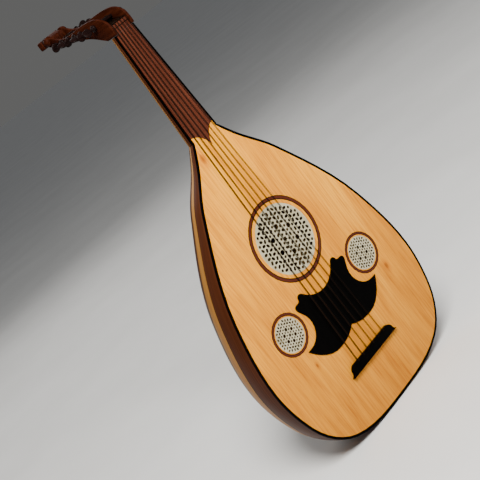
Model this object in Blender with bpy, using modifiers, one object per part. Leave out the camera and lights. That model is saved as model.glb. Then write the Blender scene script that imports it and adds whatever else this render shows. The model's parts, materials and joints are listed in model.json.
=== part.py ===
"""An oud: a short-necked lute with a ribbed bowl, a bent-back pegbox and twelve friction pegs.

Frame: metres, +Z up along the neck towards the pegbox. The soundboard's face is the plane y = 0 and
looks towards -Y, the bowl lies towards +Y, and x = 0 is the middle plane. The origin is the tail end
of the body, where the ribs meet behind the soundboard's edge.
"""

import math

import bmesh
import bpy
from mathutils import Matrix, Vector

MM = 0.001
GAP = 0.3 * MM                      # glue line between touching pieces

# Body
BODY_LENGTH = 495.8 * MM            # tail to neck joint
BOWL_DEPTH_RATIO = 0.94             # bowl depth over half width, at every height
RIB_COUNT = 16
OUTER_RIB_ANGLE = math.radians(13.5)            # the two ribs beside the soundboard are wider
RIB_THICKNESS = 3.0 * MM
RIB_STATIONS = 15
RIB_START_RADIUS = 9.5 * MM         # the ribs end this far from the point where they meet
SOUNDBOARD_THICKNESS = 2.0 * MM
BINDING_WIDTH = 3.7 * MM

# Half outline of the body, outside the binding: (x, z) in mm and the direction of travel in degrees
OUTLINE_NODES = (
    ((0.0, 0.0), 0.0),
    ((116.7, 15.9), 24.5),
    ((170.4, 76.0), 70.0),
    ((185.0, 153.0), 90.0),
    ((164.5, 268.2), 106.3),
    ((91.2, 412.7), 121.6),
    ((46.2, 469.6), 125.0),
    ((28.8, 495.8), 124.0),
)

# Soundholes: centre x, centre z, radius of the fretted disc, inner and outer radius of the ring
SOUNDHOLES = {
    "main": (0.0, 301.5 * MM, 54.3 * MM, 60.1 * MM, 66.2 * MM),
    "left": (-99.4 * MM, 197.8 * MM, 26.6 * MM, 28.6 * MM, 33.0 * MM),
    "right": (99.4 * MM, 197.8 * MM, 26.6 * MM, 28.6 * MM, 33.0 * MM),
}
ROSETTE_THICKNESS = 1.4 * MM
RING_DEPTH = 0.9 * MM

# Lining and bars behind the soundboard
LINING_Z = (34.0 * MM, 440.0 * MM)
LINING_DEPTH = 5.0 * MM
BRACE_DEPTH = 9.0 * MM
BRACE_PLACES = (60, 118, 152, 232, 372, 418)    # heights in mm, clear of the soundholes

# Bridge and pickguard
BRIDGE_REAR_Z = 78.3 * MM
BRIDGE_THICKNESS = 6.0 * MM
PICKGUARD_THICKNESS = 0.8 * MM

# Neck
NECK_END_Z = 683.0 * MM
NECK_HALF_WIDTHS = (28.8 * MM, 20.5 * MM)       # at the joint, at the pegbox
NECK_DEPTHS = (29.4 * MM, 24.5 * MM)
BOARD_HALF_WIDTHS = (25.2 * MM, 17.8 * MM)      # the fingerboard between its bindings
BOARD_THICKNESS = 3.0 * MM
BOARD_CORNER_Z = 504.2 * MM
BOARD_TIP_Z = 477.2 * MM
BOARD_TIP_POWER = 1.6                           # roundness of the hollows either side of the tip
NUT_Z = (692.2 * MM, 697.0 * MM)
NUT_HEIGHT = 1.6 * MM

# Pegbox
CHEEK_THICKNESS = 4.5 * MM
CHEEK_OUTER_X = 21.0 * MM
CHEEK_TAPER = 0.0288                            # how fast the pegbox narrows along y
BACK_PLATE_THICKNESS = 2.0 * MM
EYE_Y = 146.0 * MM
EYE_Z = 735.7 * MM
EYE_RADIUS = 6.6 * MM
FINIAL_CAP = (-10.0, 174.0, 729.5, 10.0, 187.0, 743.0)      # mm: low x, y, z and high x, y, z

# Pegs: places of the two rows along the pegbox, mm, and the turn of each head in degrees
PEG_PITCH = 17.4
PEG_ROWS = {
    "left": (25.0, (56, 91, 31, 119, 41, 111)),
    "right": (33.7, (31, 66, 86, 121, 81, 119)),
}
PEG_HEIGHTS = (
    (25.0, 709.7), (42.4, 711.2), (59.8, 714.0), (77.2, 716.5),
    (94.6, 718.7), (103.3, 719.9), (112.0, 721.5), (120.7, 724.2),
)
PEG_TIP_RADIUS = 2.5 * MM
PEG_ROOT_RADIUS = 3.1 * MM
PEG_CLEARANCE = 0.35 * MM

# Strings: six pairs
COURSE_SPACING = (14.1 * MM, 5.84 * MM)         # at the bridge, at the nut
PAIR_SPACING = 1.6 * MM
STRING_RADII = (0.5 * MM, 0.46 * MM, 0.42 * MM, 0.4 * MM, 0.38 * MM, 0.35 * MM)
STRING_HEIGHT_BRIDGE = 4.2 * MM
STRING_TO_SHAFT = 0.25 * MM
ARRIVAL = math.radians(40)                      # where a string meets its shaft, below the near side


# ---------------------------------------------------------------- materials and collections

def make_material(name, colour, roughness, metallic=0.0):
    material = bpy.data.materials.new(name)
    material.use_nodes = True
    shader = material.node_tree.nodes["Principled BSDF"]
    shader.inputs["Base Color"].default_value = (*colour, 1.0)
    shader.inputs["Roughness"].default_value = roughness
    shader.inputs["Metallic"].default_value = metallic
    return material


def make_materials():
    return {
        "spruce": make_material("spruce", (0.76, 0.45, 0.18), 0.45),
        "light_rib": make_material("light_rib", (0.45, 0.23, 0.07), 0.25),
        "dark_rib": make_material("dark_rib", (0.055, 0.017, 0.008), 0.25),
        "ebony": make_material("ebony", (0.004, 0.004, 0.004), 0.3),
        "rosewood": make_material("rosewood", (0.14, 0.048, 0.026), 0.4),
        "mahogany": make_material("mahogany", (0.06, 0.017, 0.007), 0.35),
        "bone": make_material("bone", (0.56, 0.53, 0.42), 0.5),
        "inlay_brown": make_material("inlay_brown", (0.09, 0.025, 0.012), 0.4),
        "string": make_material("string", (0.05, 0.03, 0.02), 0.35),
        "inner_wood": make_material("inner_wood", (0.5, 0.33, 0.17), 0.7),
    }


def make_collection(name):
    collection = bpy.data.collections.new(name)
    bpy.context.scene.collection.children.link(collection)
    return collection


# ---------------------------------------------------------------- small geometry helpers

def lerp(a, b, t):
    return a + (b - a) * t


def table_value(table, x):
    """Straight-line interpolation in a table of (x, value) pairs."""
    for (x0, v0), (x1, v1) in zip(table, table[1:]):
        if x <= x1:
            return lerp(v0, v1, (x - x0) / (x1 - x0))
    return table[-1][1]


def bezier_span(start, end, steps):
    """Points of one outline span, its handles a third of the chord along the node directions."""
    (p0, a0), (p3, a3) = start, end
    p0, p3 = Vector(p0), Vector(p3)
    reach = (p3 - p0).length / 3
    p1 = p0 + reach * Vector((math.cos(math.radians(a0)), math.sin(math.radians(a0))))
    p2 = p3 - reach * Vector((math.cos(math.radians(a3)), math.sin(math.radians(a3))))
    points = []
    for i in range(steps):
        t = i / steps
        s = 1.0 - t
        points.append(s ** 3 * p0 + 3 * s * s * t * p1 + 3 * s * t * t * p2 + t ** 3 * p3)
    return points


def body_outline(steps):
    """Half outline of the body in metres, from the tail to the neck joint."""
    points = []
    for start, end in zip(OUTLINE_NODES, OUTLINE_NODES[1:]):
        points += bezier_span(start, end, steps)
    points.append(Vector(OUTLINE_NODES[-1][0]))
    return [p * MM for p in points]


def offset_inwards(points, distance):
    """Moves an open run of outline points to its left, which is the inside of the body."""
    moved = []
    for i, point in enumerate(points):
        before = points[max(i - 1, 0)]
        after = points[min(i + 1, len(points) - 1)]
        along = (after - before).normalized()
        moved.append(point + distance * Vector((-along.y, along.x)))
    return moved


def resample(points, radii):
    """Outline points at the given arc lengths' fractions."""
    lengths = [0.0]
    for a, b in zip(points, points[1:]):
        lengths.append(lengths[-1] + (b - a).length)
    result = []
    for fraction in radii:
        target = fraction * lengths[-1]
        i = max(k for k, s in enumerate(lengths[:-1]) if s <= target)
        t = (target - lengths[i]) / (lengths[i + 1] - lengths[i])
        result.append(points[i].lerp(points[i + 1], t))
    return result


def peg_places(side):
    """The (y, z) places of one row of pegs, in metres."""
    first = PEG_ROWS[side][0]
    ys = [first + PEG_PITCH * i for i in range(6)]
    return [(y * MM, table_value(PEG_HEIGHTS, y) * MM) for y in ys]


def cheek_outer_x(y):
    return CHEEK_OUTER_X - CHEEK_TAPER * max(y, 0.0)


# ---------------------------------------------------------------- object makers

def link_mesh(name, mesh, material, collection, smooth=None):
    mesh.materials.clear()
    mesh.materials.append(material)
    if smooth is not None:
        mesh.shade_smooth()
        mesh.set_sharp_from_angle(angle=math.radians(smooth))
    obj = bpy.data.objects.new(name, mesh)
    collection.objects.link(obj)
    return obj


def loft_into(bm, sections):
    """Adds one closed solid through rings of equally many points."""
    rings = [[bm.verts.new(p) for p in section] for section in sections]
    count = len(rings[0])
    for lower, upper in zip(rings, rings[1:]):
        for i in range(count):
            j = (i + 1) % count
            bm.faces.new((lower[i], lower[j], upper[j], upper[i]))
    bm.faces.new(list(reversed(rings[0])))
    bm.faces.new(rings[-1])


def make_lofts(name, solids, material, collection, smooth=None):
    """One object holding a closed loft for each list of sections."""
    bm = bmesh.new()
    for sections in solids:
        loft_into(bm, sections)
    bmesh.ops.recalc_face_normals(bm, faces=bm.faces)
    mesh = bpy.data.meshes.new(name)
    bm.to_mesh(mesh)
    bm.free()
    return link_mesh(name, mesh, material, collection, smooth)


def make_box(name, low, high, material, collection, bevel=0.0):
    size = Vector(high) - Vector(low)
    bm = bmesh.new()
    bmesh.ops.create_cube(bm, size=1.0)
    bmesh.ops.scale(bm, vec=size, verts=bm.verts)
    bmesh.ops.translate(bm, vec=(Vector(low) + Vector(high)) / 2, verts=bm.verts)
    mesh = bpy.data.meshes.new(name)
    bm.to_mesh(mesh)
    bm.free()
    obj = link_mesh(name, mesh, material, collection)
    if bevel:
        add_bevel(obj, bevel)
    return obj


def add_bevel(obj, width, segments=1):
    modifier = obj.modifiers.new("edges", "BEVEL")
    modifier.width = width
    modifier.segments = segments
    modifier.limit_method = "ANGLE"
    modifier.angle_limit = math.radians(40)


def curve_to_mesh(curve_object, name, material, collection, smooth=None):
    """Replaces a curve object by a welded mesh object in the same place."""
    bpy.context.view_layer.update()
    depsgraph = bpy.context.evaluated_depsgraph_get()
    mesh = bpy.data.meshes.new_from_object(curve_object.evaluated_get(depsgraph))
    place = curve_object.matrix_world.copy()
    curve = curve_object.data
    bpy.data.objects.remove(curve_object)
    bpy.data.curves.remove(curve)
    bm = bmesh.new()
    bm.from_mesh(mesh)
    bmesh.ops.remove_doubles(bm, verts=bm.verts, dist=1e-6)
    bmesh.ops.transform(bm, matrix=place, verts=bm.verts)
    bmesh.ops.recalc_face_normals(bm, faces=bm.faces)
    bm.to_mesh(mesh)
    bm.free()
    mesh.name = name
    return link_mesh(name, mesh, material, collection, smooth)


FRONT_PLANE = Matrix(((1, 0, 0, 0), (0, 0, -1, 0), (0, 1, 0, 0), (0, 0, 0, 1)))     # (x, z) drawings
SIDE_PLANE = Matrix(((0, 0, 1, 0), (1, 0, 0, 0), (0, 1, 0, 0), (0, 0, 0, 1)))       # (y, z) drawings


def make_plate(name, loops, middle, thickness, plane, material, collection):
    """A flat plate from closed 2D loops (outline first, then holes), centred on a plane.

    middle is the plate's mid-plane: y for a front drawing, x for a side drawing.
    """
    curve = bpy.data.curves.new(name, "CURVE")
    curve.dimensions = "2D"
    curve.fill_mode = "BOTH"
    curve.extrude = thickness / 2
    for loop in loops:
        spline = curve.splines.new("POLY")
        spline.points.add(len(loop) - 1)
        for point, (u, v) in zip(spline.points, loop):
            point.co = (u, v, 0.0, 1.0)
        spline.use_cyclic_u = True
    obj = bpy.data.objects.new(name + "_drawing", curve)
    collection.objects.link(obj)
    depth = Matrix.Translation((0, 0, -middle if plane is FRONT_PLANE else middle))
    obj.matrix_world = plane @ depth
    return curve_to_mesh(obj, name, material, collection)


def circle(centre_x, centre_z, radius, count, start=0.0):
    turns = [start + 2 * math.pi * i / count for i in range(count)]
    return [(centre_x + radius * math.cos(t), centre_z + radius * math.sin(t)) for t in turns]


def cut(obj, cutter):
    """Boolean difference, applied at once, after which the cutter is removed."""
    apply_boolean(obj, cutter, "DIFFERENCE")


def join(obj, other):
    apply_boolean(obj, other, "UNION")


def apply_boolean(obj, other, operation):
    modifier = obj.modifiers.new("boolean", "BOOLEAN")
    modifier.operation = operation
    modifier.object = other
    bpy.context.view_layer.update()
    depsgraph = bpy.context.evaluated_depsgraph_get()
    mesh = bpy.data.meshes.new_from_object(obj.evaluated_get(depsgraph))
    material = obj.data.materials[0]
    obj.modifiers.remove(modifier)
    obj.data = mesh
    mesh.materials.clear()
    mesh.materials.append(material)
    bpy.data.objects.remove(other)


def make_cylinder(name, start, end, radius, segments, material, collection):
    """A cylinder between two points."""
    start, end = Vector(start), Vector(end)
    axis = end - start
    bm = bmesh.new()
    bmesh.ops.create_cone(bm, cap_ends=True, segments=segments, radius1=radius, radius2=radius,
                          depth=axis.length)
    turn = Vector((0, 0, 1)).rotation_difference(axis).to_matrix().to_4x4()
    bmesh.ops.transform(bm, matrix=Matrix.Translation((start + end) / 2) @ turn, verts=bm.verts)
    mesh = bpy.data.meshes.new(name)
    bm.to_mesh(mesh)
    bm.free()
    return link_mesh(name, mesh, material, collection)


# ---------------------------------------------------------------- bowl

def rib_stations():
    """Pairs of outline points (outside, inside) from the tail to the joint, close together at the tail."""
    fine = body_outline(24)
    inner = offset_inwards(fine, RIB_THICKNESS)
    length = sum((b - a).length for a, b in zip(fine, fine[1:]))
    first = RIB_START_RADIUS / length
    fractions = [lerp(first, 1.0, (i / (RIB_STATIONS - 1)) ** 1.15) for i in range(RIB_STATIONS)]
    outer_points = resample(fine, fractions)
    inner_points = resample(inner, fractions)
    inner_points[-1] = Vector((outer_points[-1].x - RIB_THICKNESS, outer_points[-1].y))
    return list(zip(outer_points, inner_points))


def bowl_point(profile_point, angle):
    """A point of the bowl: profile_point is (half width, z), the angle starts at the -X edge."""
    half_width, z = profile_point
    y = SOUNDBOARD_THICKNESS + GAP + BOWL_DEPTH_RATIO * half_width * math.sin(angle)
    return Vector((-half_width * math.cos(angle), y, z))


def rib_edge(index):
    """Angle of the line before a rib, counted from the soundboard's -X edge."""
    if index in (0, RIB_COUNT):
        return math.pi * index / RIB_COUNT
    step = (math.pi - 2 * OUTER_RIB_ANGLE) / (RIB_COUNT - 2)
    return OUTER_RIB_ANGLE + (index - 1) * step


def gap_angle(radius):
    return min(GAP / 2 / radius, 0.09 * math.pi / RIB_COUNT)


def strip_section(outer, inner, low_angle, high_angle, cuts):
    """One cross-section ring of a strip of the bowl's skin."""
    angles = [lerp(low_angle, high_angle, i / cuts) for i in range(cuts + 1)]
    ring = [bowl_point(outer, a) for a in angles]
    ring += [bowl_point(inner, a) for a in reversed(angles)]
    return ring


def make_ribs(materials, parts):
    stations = rib_stations()
    for index in range(RIB_COUNT):
        sections = []
        for outer, inner in stations:
            trim = gap_angle(outer.x)
            low = rib_edge(index) + (trim if index else 0.0)
            high = rib_edge(index + 1) - (trim if index < RIB_COUNT - 1 else 0.0)
            sections.append(strip_section(outer, inner, low, high, 2))
        wood = materials["dark_rib" if index % 2 == 0 else "light_rib"]
        make_lofts("rib_%02d" % (index + 1), [sections], wood, parts, smooth=30)


def half_round_section(half_width, depth, z, flat_y, cuts):
    """Half an ellipse behind the plane y = flat_y."""
    ring = []
    for i in range(cuts + 1):
        angle = math.pi * i / cuts
        ring.append(Vector((-half_width * math.cos(angle), flat_y + depth * math.sin(angle), z)))
    return ring


def make_blocks(materials, parts):
    """The tail block, whose boss fills the point where the ribs meet, and the neck block."""
    flat = SOUNDBOARD_THICKNESS + GAP
    tail = [
        half_round_section(9.0 * MM, 9.0 * BOWL_DEPTH_RATIO * MM, 0.2 * MM, flat, 12),
        half_round_section(9.0 * MM, 9.0 * BOWL_DEPTH_RATIO * MM, 4.5 * MM, flat, 12),
        half_round_section(44.0 * MM, 41.0 * MM, 4.6 * MM, flat, 12),
        half_round_section(44.0 * MM, 41.0 * MM, 26.0 * MM, flat, 12),
    ]
    make_lofts("tail_block", [tail], materials["inner_wood"], parts)
    flat = BOARD_THICKNESS + GAP
    neck = [
        half_round_section(41.0 * MM, 38.0 * MM, 466.0 * MM, flat, 12),
        half_round_section(24.5 * MM, 23.0 * MM, 489.0 * MM, flat, 12),
        half_round_section(23.5 * MM, 22.0 * MM, 495.5 * MM, flat, 12),
    ]
    make_lofts("neck_block", [neck], materials["inner_wood"], parts)


# ---------------------------------------------------------------- soundboard and its fittings

def board_tip_curve(shift, count):
    """The hollow-sided point of the fingerboard, from the -X corner to the +X corner."""
    half = BOARD_HALF_WIDTHS[0] - GAP
    points = []
    for i in range(-count, count + 1):
        across = (abs(i) / count) ** 1.6
        rise = (1.0 - (1.0 - across) ** BOARD_TIP_POWER) ** (1.0 / BOARD_TIP_POWER)
        z = lerp(BOARD_TIP_Z, BOARD_CORNER_Z, rise) + shift
        points.append((math.copysign(across * half, i), z))
    return points


def board_half_width(z):
    t = (z - BOARD_CORNER_Z) / (NECK_END_Z - BOARD_CORNER_Z)
    return lerp(BOARD_HALF_WIDTHS[0], BOARD_HALF_WIDTHS[1], t)


def edge_inside_binding(distance):
    """The body's half outline moved in by a distance, ending beside the fingerboard."""
    edge = offset_inwards(body_outline(6), distance)
    half = [(max(p.x, 0.0), p.y) for p in edge if p.y < BODY_LENGTH - 8 * MM]
    return half + [(BOARD_HALF_WIDTHS[0] + BINDING_WIDTH + GAP - distance, BODY_LENGTH - GAP)]


def make_soundboard(materials, parts):
    half = edge_inside_binding(BINDING_WIDTH + GAP)
    tip = board_tip_curve(0.0, 6)
    right_tip = [p for p in reversed(tip) if p[0] > 1e-9]
    outline = half + right_tip + [(0.0, BOARD_TIP_Z)]
    outline += [(-x, z) for x, z in reversed(half + right_tip) if x > 1e-9]
    loops = [outline]
    for name, (x, z, disc, _, _) in SOUNDHOLES.items():
        loops.append(circle(x, z, disc + GAP, 36 if name == "main" else 24))
    board = make_plate("soundboard", loops, SOUNDBOARD_THICKNESS / 2, SOUNDBOARD_THICKNESS,
                       FRONT_PLANE, materials["spruce"], parts)
    for name, (x, z, _, inner, outer) in SOUNDHOLES.items():
        count = 36 if name == "main" else 24
        loops = [circle(x, z, outer + GAP, count), circle(x, z, inner - GAP, count)]
        depth = RING_DEPTH + GAP
        groove = make_plate("groove", loops, depth / 2 - MM, depth + 2 * MM, FRONT_PLANE,
                            materials["spruce"], parts)
        cut(board, groove)
    return board


def make_rings(materials, parts):
    for name, (x, z, _, inner, outer) in SOUNDHOLES.items():
        count = 36 if name == "main" else 24
        loops = [circle(x, z, outer, count), circle(x, z, inner, count)]
        make_plate("ring_inlay_" + name, loops, RING_DEPTH / 2, RING_DEPTH, FRONT_PLANE,
                   materials["inlay_brown"], parts)


def make_rosettes(materials, parts):
    """Fretted discs, each with a six-fold pattern of through holes."""
    for name, (x, z, disc, _, _) in SOUNDHOLES.items():
        is_main = name == "main"
        loops = [circle(x, z, disc, 36 if is_main else 24)]
        loops.append(circle(x, z, 0.09 * disc, 6))
        rings = ((0.42, 6, 0.10, 0.5), (0.74, 12, 0.085, 0.25)) if is_main else ((0.42, 6, 0.1, 0.5),)
        for reach, count, size, turn in rings:
            for i in range(count):
                angle = 2 * math.pi * (i + turn) / count
                centre = (x + reach * disc * math.cos(angle), z + reach * disc * math.sin(angle))
                loops.append(circle(centre[0], centre[1], size * disc, 6, angle))
        make_plate("rosette_" + name, loops, 0.3 * MM + ROSETTE_THICKNESS / 2, ROSETTE_THICKNESS,
                   FRONT_PLANE, materials["bone"], parts)


def make_binding(materials, parts):
    outer = [(p.x, p.y) for p in body_outline(6)]
    outer[-1] = (outer[-1][0], BODY_LENGTH - GAP)
    inner = edge_inside_binding(BINDING_WIDTH)
    left = [(-x, z) for x, z in reversed(outer) if x > 1e-9]
    right_inner = [(x, z) for x, z in reversed(inner)]
    left_inner = [(-x, z) for x, z in inner if x > 1e-9]
    outline = left + outer + right_inner + left_inner
    make_plate("edge_binding", [outline], SOUNDBOARD_THICKNESS / 2, SOUNDBOARD_THICKNESS, FRONT_PLANE,
               materials["ebony"], parts)


def arc(centre, radius, start, end, count):
    """Points along an arc, angles in degrees, in millimetres."""
    points = []
    for i in range(count + 1):
        angle = math.radians(lerp(start, end, i / count))
        points.append((centre[0] + radius * math.cos(angle), centre[1] + radius * math.sin(angle)))
    return points


def pickguard_half():
    """The +X half of the pickguard, mm, z measured from the bridge's rear edge at 75.7 mm."""
    half = [(0.0, 60.6), (2.4, 59.0), (8.0, 56.0), (18.0, 52.4), (30.0, 50.4), (42.0, 50.0), (52.0, 51.0)]
    half += [(62.0, 54.4), (70.0, 59.0), (78.0, 65.0), (86.0, 73.4), (93.6, 83.4)]
    half += arc((84.5, 112.8), 29.3, 270, 145, 9)
    half += [(63.2, 134.5)]
    half += arc((60.2, 139.8), 5.0, -25, 95, 4)
    half += [(54.0, 145.0), (51.0, 146.4)]
    half += arc((44.6, 147.7), 5.9, 20, 125, 4)
    half += arc((0.0, 178.8), 47.8, -36, -90, 8)
    return half


def make_pickguard(materials, parts):
    half = [(x * MM, (z + 75.7) * MM) for x, z in pickguard_half()]
    half[-1] = (0.0, half[-1][1])
    outline = half + [(-x, z) for x, z in reversed(half[1:-1])]
    make_plate("pickguard", [outline], -GAP - PICKGUARD_THICKNESS / 2, PICKGUARD_THICKNESS, FRONT_PLANE,
               materials["ebony"], parts)


def make_bridge(materials, parts):
    """A long bar with a straight rear edge and a point, a cove and a shoulder at each end."""
    half = [(61.0, 0.0), (57.2, 2.0), (55.0, 4.6), (54.4, 8.4), (52.8, 11.0), (50.0, 13.6), (46.5, 15.4)]
    half = [(x * MM, BRIDGE_REAR_Z + z * MM) for x, z in half]
    outline = half + [(-x, z) for x, z in reversed(half)]
    obj = make_plate("bridge", [outline], -GAP - BRIDGE_THICKNESS / 2, BRIDGE_THICKNESS, FRONT_PLANE,
                     materials["ebony"], parts)
    add_bevel(obj, 0.5 * MM)


def make_brace_frame(materials, parts):
    """The lining that follows the soundboard's edge inside the bowl, with the bars glued across it."""
    back = SOUNDBOARD_THICKNESS + GAP
    edge = offset_inwards(body_outline(3), RIB_THICKNESS + 3.5 * MM)
    inside = offset_inwards(body_outline(3), RIB_THICKNESS + 9.5 * MM)
    low, high = LINING_Z
    outer_run = [(p.x, p.y) for p in edge if low < p.y < high]
    inner_run = [(p.x, p.y) for p in inside if low < p.y < high]
    rails = []
    for name, side in (("soundboard_frame", -1), ("rail", 1)):
        outline = [(side * x, z) for x, z in outer_run + list(reversed(inner_run))]
        rails.append(make_plate(name, [outline], back + LINING_DEPTH / 2, LINING_DEPTH, FRONT_PLANE,
                                materials["inner_wood"], parts))
    frame, other = rails
    for z_mm in BRACE_PLACES:
        half = table_value([(p.y, p.x) for p in inside], z_mm * MM) + 2.5 * MM
        low = (-half, back, (z_mm - 2.5) * MM)
        high = (half, back + BRACE_DEPTH, (z_mm + 2.5) * MM)
        bar = make_box("bar", low, high, materials["inner_wood"], parts)
        join(frame, bar)
    join(frame, other)


# ---------------------------------------------------------------- neck

def make_neck(materials, parts):
    """The neck's solid core and striped skin as one half-round body behind the fingerboard."""
    flat = BOARD_THICKNESS + GAP
    ends = zip(NECK_HALF_WIDTHS, NECK_DEPTHS, (BODY_LENGTH + GAP, NECK_END_Z))
    sections = [half_round_section(half, depth - flat, z, flat, 16) for half, depth, z in ends]
    make_lofts("neck", [sections], materials["dark_rib"], parts, smooth=30)


def make_fingerboard(materials, parts):
    tip = board_tip_curve(1.3 * GAP, 6)
    half_top = board_half_width(NECK_END_Z) - GAP
    outline = tip + [(half_top, NECK_END_Z), (-half_top, NECK_END_Z)]
    make_plate("fingerboard", [outline], BOARD_THICKNESS / 2, BOARD_THICKNESS, FRONT_PLANE,
               materials["rosewood"], parts)
    for name, side in (("neck_binding_left", -1), ("neck_binding_right", 1)):
        outline = [
            (side * (BOARD_HALF_WIDTHS[0] + GAP), BODY_LENGTH + GAP),
            (side * NECK_HALF_WIDTHS[0], BODY_LENGTH + GAP),
            (side * NECK_HALF_WIDTHS[1], NECK_END_Z),
            (side * (half_top + 2 * GAP), NECK_END_Z),
            (side * (BOARD_HALF_WIDTHS[0] + GAP), BOARD_CORNER_Z),
        ]
        make_plate(name, [outline], BOARD_THICKNESS / 2, BOARD_THICKNESS, FRONT_PLANE,
                   materials["ebony"], parts)


def make_head_and_nut(materials, parts):
    """The block that closes the pegbox at the neck, and the nut on it."""
    half = CHEEK_OUTER_X - CHEEK_THICKNESS - 2 * GAP
    make_box("pegbox_root", (-half, 0.0, NECK_END_Z + GAP), (half, 14.0 * MM, NUT_Z[0] - GAP),
             materials["rosewood"], parts)
    make_box("nut", (-half, -NUT_HEIGHT, NUT_Z[0]), (half, 9.0 * MM, NUT_Z[1]),
             materials["rosewood"], parts, bevel=0.5 * MM)


# ---------------------------------------------------------------- pegbox

CHEEK_TOP = (
    (-3.5, 683.3), (-4.2, 692.0), (-3.0, 702.7), (0.5, 708.0), (8.3, 714.7), (18.8, 719.3),
    (31.0, 721.6), (52.0, 723.3), (83.0, 723.6), (102.0, 724.3), (112.5, 725.7), (125.0, 730.1),
    (134.0, 735.6), (141.5, 741.0),
)
PEGBOX_BACK = (
    (19.0, 683.3), (31.0, 689.9), (41.7, 695.9), (54.0, 701.4), (71.0, 706.7), (83.4, 709.5),
    (96.0, 711.8), (110.5, 714.7), (125.0, 718.4), (141.0, 723.6), (153.0, 728.0),
)


def back_curve(inset):
    """The pegbox's rear curve in metres, moved into the pegbox by inset."""
    points = [Vector(p) * MM for p in PEGBOX_BACK]
    return offset_inwards(points, inset)


def make_cheeks(materials, parts):
    lower = [tuple(p) for p in back_curve(BACK_PLATE_THICKNESS + GAP)]
    lower = [(y, z) for y, z in lower if y < 147 * MM]
    eye = arc((EYE_Y / MM, EYE_Z / MM), 7.2, -75, 125, 7)
    top = [(y * MM, z * MM) for y, z in reversed(CHEEK_TOP)]
    start = [(16.2 * MM, NECK_END_Z + GAP)]
    outline = start + lower + [(y * MM, z * MM) for y, z in eye] + top
    places = peg_places("left") + peg_places("right")
    for name, side in (("pegbox_cheek_left", -1), ("pegbox_cheek_right", 1)):
        cheek = make_plate(name, [outline], 0.0, CHEEK_THICKNESS, SIDE_PLANE,
                           materials["mahogany"], parts)
        turn = Matrix.Rotation(side * math.atan(CHEEK_TAPER), 4, "Z")
        shift = Matrix.Translation((side * (CHEEK_OUTER_X - CHEEK_THICKNESS / 2), 0, 0))
        cheek.data.transform(shift @ turn)
        for y, z in places:
            x = side * (cheek_outer_x(y) - CHEEK_THICKNESS / 2)
            hole = make_cylinder("peg_hole", (x - 6 * MM, y, z), (x + 6 * MM, y, z),
                                 PEG_ROOT_RADIUS + PEG_CLEARANCE, 10, materials["mahogany"], parts)
            cut(cheek, hole)


def make_back_plate(materials, parts):
    outer, inner = back_curve(0.0), back_curve(BACK_PLATE_THICKNESS)
    sections = []
    for low, high in zip(outer, inner):
        half = cheek_outer_x(low.x)
        sections.append([
            Vector((-half, low.x, low.y)), Vector((half, low.x, low.y)),
            Vector((half, high.x, high.y)), Vector((-half, high.x, high.y)),
        ])
    make_lofts("pegbox_back", [sections], materials["mahogany"], parts, smooth=30)


def make_finial(materials, parts):
    """The solid end of the pegbox: a wedge between the cheeks, a waist, and a square cap."""
    stages = (
        (137.0, 11.9, 725.2, 737.6), (153.4, 11.5, 730.5, 743.0), (154.4, 14.0, 729.0, 743.0),
        (158.0, 14.0, 729.2, 743.0), (173.6, 8.6, 730.2, 742.4),
    )
    sections = []
    for y, half, low, high in stages:
        corners = ((-half, low), (half, low), (half, high), (-half, high))
        sections.append([Vector((x * MM, y * MM, z * MM)) for x, z in corners])
    make_lofts("finial", [sections], materials["mahogany"], parts)
    low, high = FINIAL_CAP[:3], FINIAL_CAP[3:]
    make_box("finial_cap", [v * MM for v in low], [v * MM for v in high], materials["mahogany"], parts,
             bevel=1.6 * MM)


def make_eyes(materials, parts):
    """A round button on the outer end of each cheek."""
    for name, side in (("scroll_eye_left", -1), ("scroll_eye_right", 1)):
        base = cheek_outer_x(EYE_Y - EYE_RADIUS) + GAP
        bm = bmesh.new()
        bmesh.ops.create_uvsphere(bm, u_segments=14, v_segments=8, radius=EYE_RADIUS)
        turn = Matrix.Rotation(math.pi / 2, 4, "Y")
        bmesh.ops.transform(bm, matrix=Matrix.Translation((base, EYE_Y, EYE_Z)) @ turn, verts=bm.verts)
        geometry = bm.verts[:] + bm.edges[:] + bm.faces[:]
        bmesh.ops.bisect_plane(bm, geom=geometry, dist=1e-7, plane_co=(base, 0, 0), plane_no=(-1, 0, 0),
                               clear_outer=True)
        bmesh.ops.holes_fill(bm, edges=bm.edges)
        bmesh.ops.scale(bm, vec=(side, 1, 1), verts=bm.verts)
        bmesh.ops.recalc_face_normals(bm, faces=bm.faces)
        mesh = bpy.data.meshes.new(name)
        bm.to_mesh(mesh)
        bm.free()
        link_mesh(name, mesh, materials["mahogany"], parts, smooth=40)


# ---------------------------------------------------------------- pegs

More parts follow.
